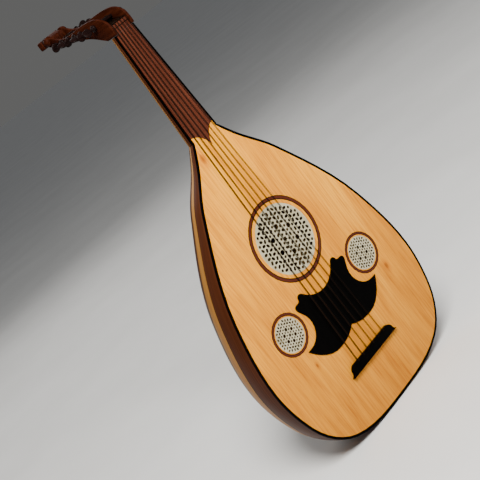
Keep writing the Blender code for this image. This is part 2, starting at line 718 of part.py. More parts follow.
def make_peg(name, side, y, z, head_turn, materials, parts):
    """A friction peg: tapered shaft, collar, stem and flat oval head, its origin on its axis.

    The profile runs along the peg from its tip, s = 0 at the outer face of its own cheek.
    """
    outer = cheek_outer_x(y)
    tip = -(2 * outer + 0.8 * MM)
    profile = [
        (0.0, tip), (PEG_TIP_RADIUS, tip), (PEG_ROOT_RADIUS, 0.8 * MM), (4.6 * MM, 0.9 * MM),
        (5.4 * MM, 2.4 * MM), (4.6 * MM, 4.6 * MM), (2.6 * MM, 5.6 * MM), (2.3 * MM, 10.0 * MM),
        (0.0, 10.0 * MM),
    ]
    mesh = bpy.data.meshes.new(name + "_profile")
    mesh.from_pydata([(r, 0.0, s) for r, s in reversed(profile)],
                     [(i, i + 1) for i in range(len(profile) - 1)], [])
    shaft = link_mesh(name, mesh, materials["ebony"], parts)
    screw = shaft.modifiers.new("turn", "SCREW")
    screw.steps = 10
    screw.render_steps = 10
    screw.use_merge_vertices = True
    screw.merge_threshold = 1e-6
    bpy.context.view_layer.update()
    depsgraph = bpy.context.evaluated_depsgraph_get()
    solid = bpy.data.meshes.new_from_object(shaft.evaluated_get(depsgraph))
    shaft.modifiers.remove(screw)
    shaft.data = solid

    bm = bmesh.new()
    bmesh.ops.create_uvsphere(bm, u_segments=12, v_segments=7, radius=1.0)
    bmesh.ops.scale(bm, vec=(7.2 * MM, 2.6 * MM, 8.2 * MM), verts=bm.verts)
    place = Matrix.Translation((0, 0, 16.2 * MM)) @ Matrix.Rotation(math.radians(head_turn), 4, "Z")
    bmesh.ops.transform(bm, matrix=place, verts=bm.verts)
    paddle_mesh = bpy.data.meshes.new("paddle")
    bm.to_mesh(paddle_mesh)
    bm.free()
    paddle = link_mesh("paddle", paddle_mesh, materials["ebony"], parts)
    join(shaft, paddle)

    point_out = Matrix.Rotation(side * math.pi / 2, 4, "Y")
    shaft.data.transform(Matrix.Translation((side * outer, 0, 0)) @ point_out)
    shaft.data.shade_smooth()
    shaft.data.set_sharp_from_angle(angle=math.radians(40))
    shaft.location = (0, y, z)


def make_pegs(materials, parts):
    for side_name, side in (("left", -1), ("right", 1)):
        turns = PEG_ROWS[side_name][1]
        for i, (y, z) in enumerate(peg_places(side_name)):
            name = "peg_%s_%d" % (side_name, i + 1)
            make_peg(name, side, y, z, 90 + side * turns[i], materials, parts)


# ---------------------------------------------------------------- strings

def lower_hull(points):
    """The taut line under a run of (y, z) points, from the first to the last."""
    hull = []
    for point in points:
        while len(hull) > 1:
            (ax, az), (bx, bz) = hull[-2], hull[-1]
            if (bx - ax) * (point[1] - az) - (bz - az) * (point[0] - ax) > 0:
                break
            hull.pop()
        hull.append(point)
    return hull


def string_route(x_bridge, x_nut, radius, target):
    """From the bridge over the nut and under the nearer peg shafts to the near side of its own shaft."""
    drop = PEG_ROOT_RADIUS + STRING_TO_SHAFT + radius
    start = (-1.2 * MM, NUT_Z[1] + 0.75 * MM + radius)
    shafts = sorted(peg_places("left") + peg_places("right"))
    bounds = [start] + [(y, z - drop) for y, z in shafts if y < target[0] - 1e-6]
    bounds.append((target[0] - drop * math.cos(ARRIVAL), target[1] - drop * math.sin(ARRIVAL)))
    top_y = -NUT_HEIGHT - GAP - radius
    bridge_z = BRIDGE_REAR_Z + 15.4 * MM + GAP
    route = [Vector((x_bridge, -STRING_HEIGHT_BRIDGE, bridge_z))]
    route.append(Vector((x_nut, top_y, NUT_Z[0])))
    route.append(Vector((x_nut, top_y, NUT_Z[1] - 0.2 * MM)))
    for y, z in lower_hull(bounds):
        route.append(Vector((x_nut * (1.0 - 1.7 * max(y, 0.0)), y, z)))
    return route


def make_tube(name, routes, radius, material, parts):
    """One node with a round tube along each route."""
    curve = bpy.data.curves.new(name, "CURVE")
    curve.dimensions = "3D"
    curve.bevel_depth = radius
    curve.bevel_resolution = 2
    curve.use_fill_caps = True
    for route in routes:
        spline = curve.splines.new("POLY")
        spline.points.add(len(route) - 1)
        for point, co in zip(spline.points, route):
            point.co = (*co, 1.0)
    obj = bpy.data.objects.new(name, curve)
    parts.objects.link(obj)
    return curve_to_mesh(obj, name, material, parts, smooth=40)


def add_tie(pair, routes, radius, materials, parts):
    """The cross tie in front of the bridge that holds a pair's two strings together."""
    ends = [route[0] + Vector((0, 0, 1.6 * radius)) for route in routes]
    reach = Vector((0.8 * radius, 0, 0))
    tie = make_cylinder("tie", ends[0] - reach, ends[1] + reach, 1.5 * radius, 8,
                        materials["string"], parts)
    join(pair, tie)


def make_strings(materials, parts):
    """Six pairs, the outermost strings to the pegs nearest the nut."""
    left, right = peg_places("left"), peg_places("right")
    for course in range(6):
        place = course - 2.5
        routes = []
        for k in range(2):
            offset = (k - 0.5) * PAIR_SPACING
            order = 2 * course + k
            target = left[order] if order < 6 else right[11 - order]
            routes.append(string_route(place * COURSE_SPACING[0] + offset,
                                       place * COURSE_SPACING[1] + offset,
                                       STRING_RADII[course], target))
        name = "string_pair_%d" % (course + 1)
        pair = make_tube(name, routes, STRING_RADII[course], materials["string"], parts)
        add_tie(pair, routes, STRING_RADII[course], materials, parts)


# ---------------------------------------------------------------- everything

def main():
    for obj in list(bpy.data.objects):
        bpy.data.objects.remove(obj)
    parts = make_collection("oud")
    materials = make_materials()
    make_ribs(materials, parts)
    make_blocks(materials, parts)
    make_soundboard(materials, parts)
    make_rings(materials, parts)
    make_rosettes(materials, parts)
    make_binding(materials, parts)
    make_pickguard(materials, parts)
    make_bridge(materials, parts)
    make_brace_frame(materials, parts)
    make_neck(materials, parts)
    make_fingerboard(materials, parts)
    make_head_and_nut(materials, parts)
    make_cheeks(materials, parts)
    make_back_plate(materials, parts)
    make_finial(materials, parts)
    make_eyes(materials, parts)
    make_pegs(materials, parts)
    make_strings(materials, parts)


main()
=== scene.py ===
"""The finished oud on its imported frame: varnished ribs, fretted rosettes, turned pegs and wound strings.

Metres, +Z up along the neck. The soundboard faces -Y and the bowl lies towards +Y.
"""
import json
import math

import bpy
from mathutils import Matrix, Vector


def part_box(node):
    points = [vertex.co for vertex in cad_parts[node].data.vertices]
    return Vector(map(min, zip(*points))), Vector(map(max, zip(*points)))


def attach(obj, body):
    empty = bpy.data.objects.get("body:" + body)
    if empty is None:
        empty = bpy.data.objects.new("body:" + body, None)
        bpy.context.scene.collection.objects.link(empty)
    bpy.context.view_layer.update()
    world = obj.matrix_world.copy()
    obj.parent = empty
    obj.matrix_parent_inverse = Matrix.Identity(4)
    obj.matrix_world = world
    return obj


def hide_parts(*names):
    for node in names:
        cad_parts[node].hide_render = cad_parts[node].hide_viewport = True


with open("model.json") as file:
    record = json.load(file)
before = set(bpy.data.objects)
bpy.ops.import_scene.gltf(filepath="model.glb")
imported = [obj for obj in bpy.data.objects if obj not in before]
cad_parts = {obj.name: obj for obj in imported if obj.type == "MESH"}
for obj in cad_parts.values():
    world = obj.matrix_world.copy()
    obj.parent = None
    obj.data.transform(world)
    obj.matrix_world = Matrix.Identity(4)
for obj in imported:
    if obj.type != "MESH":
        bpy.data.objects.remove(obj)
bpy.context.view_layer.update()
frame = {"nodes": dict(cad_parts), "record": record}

MM = 0.001
BODY = "instrument"

# Body, as in the CAD model
OUTLINE_NODES = (
    ((0.0, 0.0), 0.0),
    ((116.7, 15.9), 24.5),
    ((170.4, 76.0), 70.0),
    ((185.0, 153.0), 90.0),
    ((164.5, 268.2), 106.3),
    ((91.2, 412.7), 121.6),
    ((46.2, 469.6), 125.0),
    ((28.8, 495.8), 124.0),
)
BOWL_DEPTH_RATIO = 0.94
BOARD_BACK = 2.3 * MM               # the bowl starts behind the soundboard
RIB_COUNT = 16
OUTER_RIB_ANGLE = math.radians(13.5)
RIB_THICKNESS = 2.6 * MM
RIB_START = 1.8 * MM                # the ribs run to this far from the tail point
RIB_CUTS = 72                       # along each rib
PURFLING_WIDTH = 1.3 * MM

# Neck
NECK_Z = (496.1 * MM, 682.4 * MM)
NECK_HALF_WIDTHS = (28.8 * MM, 20.5 * MM)
NECK_DEPTHS = (26.1 * MM, 21.2 * MM)
NECK_BACK = 3.3 * MM
NECK_STRIPS = 11

# Pegbox
CHEEK_OUTER_X = 21.0 * MM
CHEEK_TAPER = 0.0288
CHEEK_THICKNESS = 4.5 * MM
CHEEK_TOP = (
    (-3.5, 683.3), (-4.2, 692.0), (-3.0, 702.7), (0.5, 708.0), (8.3, 714.7), (18.8, 719.3),
    (31.0, 721.6), (52.0, 723.3), (83.0, 723.6), (102.0, 724.3), (112.5, 725.7), (125.0, 730.1),
    (134.0, 735.6), (141.5, 741.0),
)
PEGBOX_BACK = (
    (19.0, 683.3), (31.0, 689.9), (41.7, 695.9), (54.0, 701.4), (71.0, 706.7), (83.4, 709.5),
    (96.0, 711.8), (110.5, 714.7), (125.0, 718.4), (141.0, 723.6), (153.0, 728.0),
)
EYE = (146.0 * MM, 735.7 * MM)
EYE_RADIUS = 6.6 * MM
EYE_RIM = 7.2 * MM                  # the cheek's round end, about the button
BACK_PLATE_THICKNESS = 2.0 * MM

# Peg heads' turns in degrees, nearest the nut first
PEG_TURNS = {"left": (56, 91, 31, 119, 41, 111), "right": (31, 66, 86, 121, 81, 119)}

# Strings
COURSE_SPACING = 14.1 * MM          # between pairs at the bridge
NUT_SPACING = 5.84 * MM             # between pairs at the nut
PAIR_SPACING = 1.6 * MM
STRING_RADII = (0.5, 0.46, 0.42, 0.4, 0.38, 0.35)       # mm, course by course
BRIDGE_REAR_Z = 78.3 * MM
BRIDGE_FRONT_Z = 93.7 * MM
BRIDGE_TOP_Y = -6.3 * MM
GROOVE_DEPTH = 0.16 * MM
GROOVE_HALF_WIDTHS = (0.55 * MM, 0.3 * MM)              # at the nut's top, at the groove's floor
WINDING_TURNS = 4
WINDING_STEPS = 10                  # points in each turn
WINDING_START = math.radians(-140)
WINDING_PITCH = 2.15                # in string radii
STRING_CONVERGENCE = 1.7            # how fast the strings draw together inside the pegbox, per metre

# Peg shafts
SHAFT_ROOT_RADIUS = 3.1 * MM
SHAFT_TAPER = 0.6 * MM
SHAFT_OVERHANG = 0.8 * MM


# ---------------------------------------------------------------- camera, light and floor

def set_camera():
    """Looks at the soundboard from above its left edge, with the neck to the upper left."""
    data = bpy.data.cameras.new("camera")
    data.sensor_width = 36.0
    data.lens = 93.675
    camera = bpy.data.objects.new("camera", data)
    bpy.context.scene.collection.objects.link(camera)
    right = Vector((0.5741, -0.5531, -0.6032))
    up = Vector((0.5942, -0.2250, 0.7717))
    back = right.cross(up).normalized()
    up = back.cross(right).normalized()
    turn = Matrix((right.normalized(), up, back)).transposed().to_4x4()
    camera.matrix_world = Matrix.Translation((-1.0734, -1.4352, 0.7068)) @ turn
    data.clip_start = 0.01
    data.clip_end = 50.0
    bpy.context.scene.camera = camera


def add_area_light(name, place, target, size, power, colour):
    data = bpy.data.lights.new(name, "AREA")
    data.shape = "DISK"
    data.size = size
    data.energy = power
    data.color = colour
    light = bpy.data.objects.new(name, data)
    bpy.context.scene.collection.objects.link(light)
    light.location = place
    light.rotation_mode = "QUATERNION"
    light.rotation_quaternion = (Vector(target) - Vector(place)).to_track_quat("-Z", "Y")


def set_lights():
    middle = (0.0, 0.0, 0.35)
    add_area_light("key", (-0.9, -1.6, 2.2), (0, 0, 0.5), 1.2, 210.0, (1.0, 0.97, 0.92))
    add_area_light("fill", (2.3, -1.8, 1.6), middle, 1.8, 36.0, (0.95, 0.97, 1.0))
    add_area_light("back", (0.7, 2.5, 1.9), middle, 2.2, 34.0, (1.0, 0.98, 0.95))
    world = bpy.data.worlds.new("studio")
    world.use_nodes = True
    nodes, links = world.node_tree.nodes, world.node_tree.links
    light = nodes["Background"]
    light.inputs["Color"].default_value = (0.9, 0.92, 0.95, 1.0)
    light.inputs["Strength"].default_value = 0.2
    horizon = nodes.new("ShaderNodeBackground")         # the far wall, as pale as the far floor
    horizon.inputs["Color"].default_value = (0.62, 0.62, 0.61, 1.0)
    horizon.inputs["Strength"].default_value = 0.2
    path = nodes.new("ShaderNodeLightPath")
    mix = nodes.new("ShaderNodeMixShader")
    links.new(path.outputs["Is Camera Ray"], mix.inputs["Fac"])
    links.new(light.outputs["Background"], mix.inputs[1])
    links.new(horizon.outputs["Background"], mix.inputs[2])
    links.new(mix.outputs["Shader"], nodes["World Output"].inputs["Surface"])
    bpy.context.scene.world = world


def add_floor():
    deselect_all()
    bpy.ops.mesh.primitive_plane_add(size=600.0, location=(0, 0, -0.002))
    floor = bpy.context.object
    floor.name = "floor"
    paint = new_material("studio_floor", (0.62, 0.62, 0.61), 0.75)
    add_mottle(paint, (0.60, 0.60, 0.59), (0.64, 0.64, 0.63), 3.0)
    floor.data.materials.append(paint.material)


# ---------------------------------------------------------------- materials

class Paint:
    """A material with its node tree, shader and the object coordinates that its patterns read."""

    def __init__(self, name):
        self.material = bpy.data.materials.new(name)
        self.material.use_nodes = True
        self.nodes = self.material.node_tree.nodes
        self.links = self.material.node_tree.links
        self.shader = self.nodes["Principled BSDF"]
        self.coordinates = self.nodes.new("ShaderNodeTexCoord")

    def mapped(self, scale, location=(0, 0, 0), rotation=(0, 0, 0), source="Object"):
        mapping = self.nodes.new("ShaderNodeMapping")
        mapping.inputs["Scale"].default_value = scale
        mapping.inputs["Location"].default_value = location
        mapping.inputs["Rotation"].default_value = rotation
        self.links.new(self.coordinates.outputs[source], mapping.inputs["Vector"])
        return mapping.outputs["Vector"]

    def noise(self, vector, scale, detail=4.0, roughness=0.55, distortion=0.0):
        noise = self.nodes.new("ShaderNodeTexNoise")
        noise.inputs["Scale"].default_value = scale
        noise.inputs["Detail"].default_value = detail
        noise.inputs["Roughness"].default_value = roughness
        noise.inputs["Distortion"].default_value = distortion
        self.links.new(vector, noise.inputs["Vector"])
        return noise.outputs["Fac"]

    def wave(self, vector, scale, distortion, detail, direction="X"):
        wave = self.nodes.new("ShaderNodeTexWave")
        wave.bands_direction = direction
        wave.inputs["Scale"].default_value = scale
        wave.inputs["Distortion"].default_value = distortion
        wave.inputs["Detail"].default_value = detail
        self.links.new(vector, wave.inputs["Vector"])
        return wave.outputs["Fac"]

    def ramp(self, factor, stops):
        ramp = self.nodes.new("ShaderNodeValToRGB")
        elements = ramp.color_ramp.elements
        elements[0].position, elements[0].color = stops[0][0], (*stops[0][1], 1.0)
        elements[1].position, elements[1].color = stops[-1][0], (*stops[-1][1], 1.0)
        for position, colour in stops[1:-1]:
            element = elements.new(position)
            element.color = (*colour, 1.0)
        self.links.new(factor, ramp.inputs["Fac"])
        return ramp.outputs["Color"]

    def mix(self, blend, factor, first, second):
        mix = self.nodes.new("ShaderNodeMix")
        mix.data_type = "RGBA"
        mix.blend_type = blend
        mix.inputs["Factor"].default_value = factor
        self.links.new(first, mix.inputs[6])
        self.links.new(second, mix.inputs[7])
        return mix.outputs[2]

    def range(self, value, low, high):
        mapped = self.nodes.new("ShaderNodeMapRange")
        mapped.inputs["To Min"].default_value = low
        mapped.inputs["To Max"].default_value = high
        self.links.new(value, mapped.inputs["Value"])
        return mapped.outputs["Result"]

    def colour(self, output):
        self.links.new(output, self.shader.inputs["Base Color"])

    def roughness(self, value, low, high):
        self.links.new(self.range(value, low, high), self.shader.inputs["Roughness"])

    def bump(self, height, strength, distance):
        bump = self.nodes.new("ShaderNodeBump")
        bump.inputs["Strength"].default_value = strength
        bump.inputs["Distance"].default_value = distance
        self.links.new(height, bump.inputs["Height"])
        self.links.new(bump.outputs["Normal"], self.shader.inputs["Normal"])

    def dull(self, specular):
        """Lowers the bare surface's reflection, as oil or open pores do."""
        self.shader.inputs["Specular IOR Level"].default_value = specular

    def varnish(self, weight, roughness):
        self.shader.inputs["Coat Weight"].default_value = weight
        self.shader.inputs["Coat Roughness"].default_value = roughness


def new_material(name, colour, roughness):
    paint = Paint(name)
    paint.shader.inputs["Base Color"].default_value = (*colour, 1.0)
    paint.shader.inputs["Roughness"].default_value = roughness
    return paint


def add_mottle(paint, low, high, scale):
    patches = paint.noise(paint.mapped((1, 1, 1)), scale, 3.0)
    paint.colour(paint.ramp(patches, ((0.35, low), (0.65, high))))


def spruce():
    """Pale softwood with fine lines along the neck, broad warm bands, three small knots and painted shade
    that darkens it towards the tail.
    """
    paint = new_material("spruce_top", (0.76, 0.45, 0.18), 0.42)
    along = paint.mapped((1.0, 1.0, 0.035))
    rings = paint.wave(paint.mapped((1.0, 0.2, 0.02)), 190.0, 2.2, 3.0)
    fine = paint.noise(along, 340.0, 5.0, 0.65)
    broad = paint.noise(paint.mapped((1.0, 1.0, 0.12)), 34.0, 4.0, 0.55, 0.9)
    colour = paint.ramp(broad, ((0.3, (0.66, 0.25, 0.006)), (0.55, (0.86, 0.37, 0.014)),
                                (0.78, (0.97, 0.46, 0.030))))
    lines = paint.ramp(rings, ((0.1, (0.74, 0.62, 0.48)), (0.62, (1.0, 1.0, 1.0))))
    colour = paint.mix("MULTIPLY", 0.6, colour, lines)
    pores = paint.ramp(fine, ((0.36, (0.66, 0.50, 0.32)), (0.56, (1.0, 1.0, 1.0))))
    colour = paint.mix("MULTIPLY", 0.75, colour, pores)
    # Painted shade: the top is darkened towards the tail and lightest towards the neck, standing in for
    # the light falling off across it.
    length = paint.nodes.new("ShaderNodeSeparateXYZ")
    paint.links.new(paint.coordinates.outputs["Object"], length.inputs["Vector"])
    painted_tail_shade = paint.nodes.new("ShaderNodeMapRange")
    painted_tail_shade.inputs["From Min"].default_value = 0.0
    painted_tail_shade.inputs["From Max"].default_value = 0.5
    paint.links.new(length.outputs["Z"], painted_tail_shade.inputs["Value"])
    shade = paint.ramp(painted_tail_shade.outputs["Result"], ((0.0, (0.52, 0.47, 0.40)), (0.55, (0.80, 0.77, 0.72)),
                                                   (1.0, (1.0, 1.0, 1.0))))
    colour = paint.mix("MULTIPLY", 1.0, colour, shade)
    for x, z, size in ((-0.030, 0.4715, 80.0), (0.123, 0.1535, 110.0), (-0.095, 0.1355, 190.0)):
        colour = paint.mix("MULTIPLY", 0.9, colour, knot(paint, x, z, size))
    paint.colour(colour)
    paint.roughness(fine, 0.34, 0.5)
    paint.bump(fine, 0.12, 0.0002)
    paint.dull(0.12)
    paint.varnish(0.03, 0.25)
    return paint.material


def knot(paint, x, z, size):
    """A dark spot in the grain, drawn out along the neck."""
    place = paint.mapped((size, 0.0, size * 0.6), (-x * size, 0.0, -z * size * 0.6))
    distance = paint.nodes.new("ShaderNodeVectorMath")
    distance.operation = "LENGTH"
    paint.links.new(place, distance.inputs[0])
    return paint.ramp(distance.outputs["Value"], ((0.1, (0.42, 0.26, 0.16)), (0.3, (0.62, 0.45, 0.32)),
                                                  (0.45, (0.85, 0.72, 0.58)), (1.0, (1.0, 1.0, 1.0))))


def bowl_wood(index, dark):
    """Varnished rib wood. Each rib is sawn from another place in the plank."""
    name = "walnut_rib" if dark else "maple_rib"
    paint = new_material("%s_%02d" % (name, index), (0.1, 0.04, 0.02), 0.3)
    shift = (7.3 * index, 2.1 * index, 0.0)
    figure = paint.noise(paint.mapped((3.0, 2.2, 1.0), shift, source="UV"), 1.6, 5.0, 0.6, 0.8)
    streaks = paint.noise(paint.mapped((26.0, 1.6, 1.0), shift, source="UV"), 1.0, 6.0, 0.65, 0.25)
    pores = paint.noise(paint.mapped((110.0, 9.0, 1.0), shift, source="UV"), 1.0, 4.0, 0.6)
    if dark:
        colour = paint.ramp(streaks, ((0.25, (0.021, 0.0058, 0.0022)), (0.5, (0.052, 0.0145, 0.0052)),
                                      (0.75, (0.098, 0.029, 0.0105))))
    else:
        colour = paint.ramp(streaks, ((0.25, (0.19, 0.075, 0.012)), (0.5, (0.32, 0.145, 0.030)),
                                      (0.75, (0.45, 0.225, 0.055))))
    patches = paint.ramp(figure, ((0.3, (0.74, 0.70, 0.66)), (0.65, (1.0, 1.0, 1.0))))
    colour = paint.mix("MULTIPLY", 0.8, colour, patches)
    dots = paint.ramp(pores, ((0.32, (0.55, 0.48, 0.42)), (0.5, (1.0, 1.0, 1.0))))
    colour = paint.mix("MULTIPLY", 0.6, colour, dots)
    paint.colour(colour)
    paint.roughness(streaks, 0.26, 0.42)
    paint.bump(pores, 0.08, 0.0002)
    paint.dull(0.02)
    paint.varnish(0.03, 0.16)
    return paint.material


def ebony():
    paint = new_material("ebony", (0.004, 0.004, 0.004), 0.34)
    grain = paint.noise(paint.mapped((1.0, 1.0, 0.05)), 700.0, 4.0, 0.6)
    paint.colour(paint.ramp(grain, ((0.35, (0.0001, 0.0001, 0.0001)), (0.7, (0.0009, 0.0007, 0.0006)))))
    paint.roughness(grain, 0.3, 0.46)
    paint.bump(grain, 0.06, 0.0001)
    paint.dull(0.015)
    return paint.material


def peg_wood():
    """Black wood with a slight red cast, polished where fingers turn it."""
    paint = new_material("peg_blackwood", (0.008, 0.004, 0.004), 0.28)
    grain = paint.noise(paint.mapped((0.15, 1.0, 1.0)), 600.0, 4.0, 0.6)
    wear = paint.noise(paint.mapped((1.0, 1.0, 1.0)), 120.0, 2.0)
    paint.colour(paint.ramp(grain, ((0.35, (0.0022, 0.0011, 0.001)), (0.7, (0.0085, 0.0034, 0.003)))))
    paint.roughness(wear, 0.3, 0.46)
    paint.bump(grain, 0.08, 0.0001)
    paint.dull(0.02)
    paint.varnish(0.01, 0.3)
    return paint.material


def rosewood():
    """Reddish brown fingerboard wood with darker streaks along the neck."""
    paint = new_material("rosewood", (0.14, 0.048, 0.026), 0.45)
    streaks = paint.noise(paint.mapped((1.0, 1.0, 0.025)), 260.0, 6.0, 0.65, 0.3)
    broad = paint.noise(paint.mapped((1.0, 1.0, 0.08)), 60.0, 2.0)
    colour = paint.ramp(streaks, ((0.3, (0.036, 0.008, 0.0033)), (0.5, (0.066, 0.0155, 0.0068)),
                                  (0.72, (0.10, 0.027, 0.0125))))
    shade = paint.ramp(broad, ((0.3, (0.8, 0.78, 0.76)), (0.7, (1.0, 1.0, 1.0))))
    paint.colour(paint.mix("MULTIPLY", 0.8, colour, shade))
    paint.roughness(streaks, 0.38, 0.55)
    paint.bump(streaks, 0.1, 0.0002)
    paint.dull(0.1)
    return paint.material


def mahogany():
    """Dark red-brown pegbox wood with its grain along the pegbox."""
    paint = new_material("mahogany", (0.06, 0.017, 0.007), 0.35)
    grain = paint.noise(paint.mapped((1.0, 0.05, 0.6), rotation=(-0.22, 0, 0)), 320.0, 5.0, 0.62, 0.2)
    patches = paint.noise(paint.mapped((1.0, 0.4, 1.0)), 45.0, 3.0)
    colour = paint.ramp(grain, ((0.28, (0.010, 0.0021, 0.0008)), (0.5, (0.023, 0.0048, 0.0019)),
                                (0.75, (0.042, 0.0100, 0.0040))))
    shade = paint.ramp(patches, ((0.3, (0.7, 0.66, 0.62)), (0.7, (1.0, 1.0, 1.0))))
    paint.colour(paint.mix("MULTIPLY", 0.8, colour, shade))
    paint.roughness(grain, 0.42, 0.58)
    paint.bump(grain, 0.1, 0.0002)
    paint.dull(0.015)
    return paint.material


def fretwork_ivory():
    """Matte off-white fretwork with faint grain and darker pits."""
    paint = new_material("fretwork_ivory", (0.56, 0.53, 0.42), 0.5)
    grain = paint.noise(paint.mapped((1.0, 1.0, 0.3)), 420.0, 4.0, 0.6)
    patches = paint.noise(paint.mapped((1.0, 1.0, 1.0)), 55.0, 3.0)
    colour = paint.ramp(patches, ((0.3, (0.27, 0.235, 0.14)), (0.7, (0.42, 0.375, 0.25))))
    pits = paint.ramp(grain, ((0.32, (0.72, 0.68, 0.58)), (0.5, (1.0, 1.0, 1.0))))
    paint.colour(paint.mix("MULTIPLY", 0.6, colour, pits))
    paint.roughness(grain, 0.42, 0.6)
    paint.bump(grain, 0.1, 0.0002)
    return paint.material


def ring_veneer(name, x, z, inner, outer):
    """Brown ring with a thin black line along each edge, and fine grain."""
    paint = new_material("ring_veneer_" + name, (0.09, 0.025, 0.012), 0.4)
    distance = paint.nodes.new("ShaderNodeVectorMath")
    distance.operation = "LENGTH"
    paint.links.new(paint.mapped((1.0, 0.0, 1.0), (-x, 0.0, -z)), distance.inputs[0])
    width = paint.nodes.new("ShaderNodeMapRange")
    width.inputs["From Min"].default_value = inner
    width.inputs["From Max"].default_value = outer
    paint.links.new(distance.outputs["Value"], width.inputs["Value"])
    black, brown = (0.003, 0.0012, 0.001), (0.062, 0.0125, 0.0048)
    bands = paint.ramp(width.outputs["Result"], ((0.0, black), (0.15, black), (0.22, brown),
                                                 (0.78, brown), (0.85, black), (1.0, black)))
    grain = paint.noise(paint.mapped((1.0, 1.0, 1.0)), 700.0, 4.0)
    shade = paint.ramp(grain, ((0.3, (0.68, 0.62, 0.58)), (0.65, (1.0, 1.0, 1.0))))
    paint.colour(paint.mix("MULTIPLY", 0.7, bands, shade))
    paint.roughness(grain, 0.4, 0.55)
    paint.dull(0.08)
    return paint.material


def wound_string(wound):
    """Copper-wound thick strings, plain nylon thin ones."""
    paint = new_material("wound_string" if wound else "plain_string", (0.1, 0.06, 0.04), 0.35)
    turns = paint.wave(paint.mapped((0.0, 0.0, 1.0)), 1400.0, 0.0, 0.0, "Z")
    if wound:
        paint.colour(paint.ramp(turns, ((0.1, (0.0035, 0.0018, 0.001)), (0.8, (0.009, 0.0045, 0.0025)))))
        paint.bump(turns, 0.1, 0.0001)
    else:
        paint.colour(paint.ramp(turns, ((0.1, (0.003, 0.0016, 0.001)), (0.9, (0.006, 0.0034, 0.002)))))
    paint.roughness(turns, 0.45, 0.6)
    paint.dull(0.02)
    return paint.material


def bare_wood():
    paint = new_material("bare_wood", (0.5, 0.33, 0.17), 0.7)
    grain = paint.noise(paint.mapped((0.05, 1.0, 1.0)), 300.0, 4.0)
    paint.colour(paint.ramp(grain, ((0.3, (0.36, 0.22, 0.11)), (0.7, (0.55, 0.37, 0.2)))))
    paint.roughness(grain, 0.62, 0.8)
    return paint.material


# ---------------------------------------------------------------- modelling helpers

def deselect_all():
    if bpy.context.object and bpy.context.object.mode != "OBJECT":
        bpy.ops.object.mode_set(mode="OBJECT")
    bpy.ops.object.select_all(action="DESELECT")


def select_only(piece):
    deselect_all()
    piece.select_set(True)
    bpy.context.view_layer.objects.active = piece


def apply_modifier(piece, kind, **values):
    """Adds a modifier, sets it and applies it."""
    select_only(piece)
    modifier = piece.modifiers.new(kind.lower(), kind)
    for key, value in values.items():
        setattr(modifier, key, value)
    bpy.ops.object.modifier_apply(modifier=modifier.name)


def round_edges(piece, width, segments=2, angle=35):
    apply_modifier(piece, "BEVEL", width=width, segments=segments, limit_method="ANGLE",
                   angle_limit=math.radians(angle), harden_normals=False)


def smooth(piece, angle=35):
    select_only(piece)
    bpy.ops.object.shade_smooth_by_angle(angle=math.radians(angle))


def face_outwards(piece):
    select_only(piece)
    bpy.ops.object.mode_set(mode="EDIT")
    bpy.ops.mesh.select_all(action="SELECT")
    bpy.ops.mesh.remove_doubles(threshold=1e-6)
    bpy.ops.mesh.normals_make_consistent(inside=False)
    bpy.ops.object.mode_set(mode="OBJECT")


def join_pieces(pieces, name):
    select_only(pieces[0])
    for piece in pieces[1:]:
        piece.select_set(True)
    bpy.ops.object.join()
    pieces[0].name = name
    return pieces[0]


def finish_piece(piece, material, replaced=(), body=BODY):
    """Puts the piece at the origin with its place in its mesh, and hangs it on its body."""
    select_only(piece)
    bpy.ops.object.transform_apply(location=True, rotation=True, scale=True)
    piece.data.materials.clear()
    piece.data.materials.append(material)
    piece.data.name = piece.name
    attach(piece, body)
    if replaced:
        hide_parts(*replaced)
    return piece


def dress(node, material):
    """Gives a CAD node that keeps its own shape a finished material."""
    piece = frame["nodes"][node]
    piece.data.materials.clear()
    piece.data.materials.append(material)


def sheet_from_formula(name, cuts_across, cuts_along, place):
    """A grid whose every point is put where place(u, v) says, u across and v along."""
    deselect_all()
    bpy.ops.mesh.primitive_grid_add(x_subdivisions=cuts_across, y_subdivisions=cuts_along, size=1.0)
    piece = bpy.context.object
    piece.name = name
    for vertex in piece.data.vertices:
        vertex.co = place(vertex.co.x + 0.5, vertex.co.y + 0.5)
    return piece


def thicken(piece, thickness, outward):
    """Gives an open sheet a wall on the side away from outward(face centre)."""
    face = piece.data.polygons[len(piece.data.polygons) // 2]
    if face.normal.dot(outward(face.center)) < 0:
        select_only(piece)
        bpy.ops.object.mode_set(mode="EDIT")
        bpy.ops.mesh.select_all(action="SELECT")
        bpy.ops.mesh.flip_normals()
        bpy.ops.object.mode_set(mode="OBJECT")
    apply_modifier(piece, "SOLIDIFY", thickness=thickness, offset=-1.0, use_even_offset=True)


def plate_from_outline(name, outline, low, high, to_space):
    """A flat plate: its outline as one face, then extruded. to_space(u, v, w) places a point."""
    mesh = bpy.data.meshes.new(name)
    mesh.from_pydata([to_space(u, v, low) for u, v in outline], [], [range(len(outline))])
    piece = bpy.data.objects.new(name, mesh)
    bpy.context.scene.collection.objects.link(piece)
    select_only(piece)
    bpy.ops.object.mode_set(mode="EDIT")
    bpy.ops.mesh.select_all(action="SELECT")
    shift = Vector(to_space(0, 0, high)) - Vector(to_space(0, 0, low))
    bpy.ops.mesh.extrude_region_move(TRANSFORM_OT_translate={"value": shift})
    bpy.ops.object.mode_set(mode="OBJECT")
    face_outwards(piece)
    return piece


def tube_along(name, routes, radius, sides=8):
    """Round tubes along routes, as one mesh."""
    curve = bpy.data.curves.new(name, "CURVE")
    curve.dimensions = "3D"
    curve.bevel_depth = radius
    curve.bevel_resolution = (sides - 4) // 2
    curve.use_fill_caps = True
    for route in routes:
        spline = curve.splines.new("POLY")
        spline.points.add(len(route) - 1)
        for point, co in zip(spline.points, route):
            point.co = (*co, 1.0)
    piece = bpy.data.objects.new(name, curve)
    bpy.context.scene.collection.objects.link(piece)
    select_only(piece)
    bpy.ops.object.convert(target="MESH")
    piece = bpy.context.object
    face_outwards(piece)
    return piece


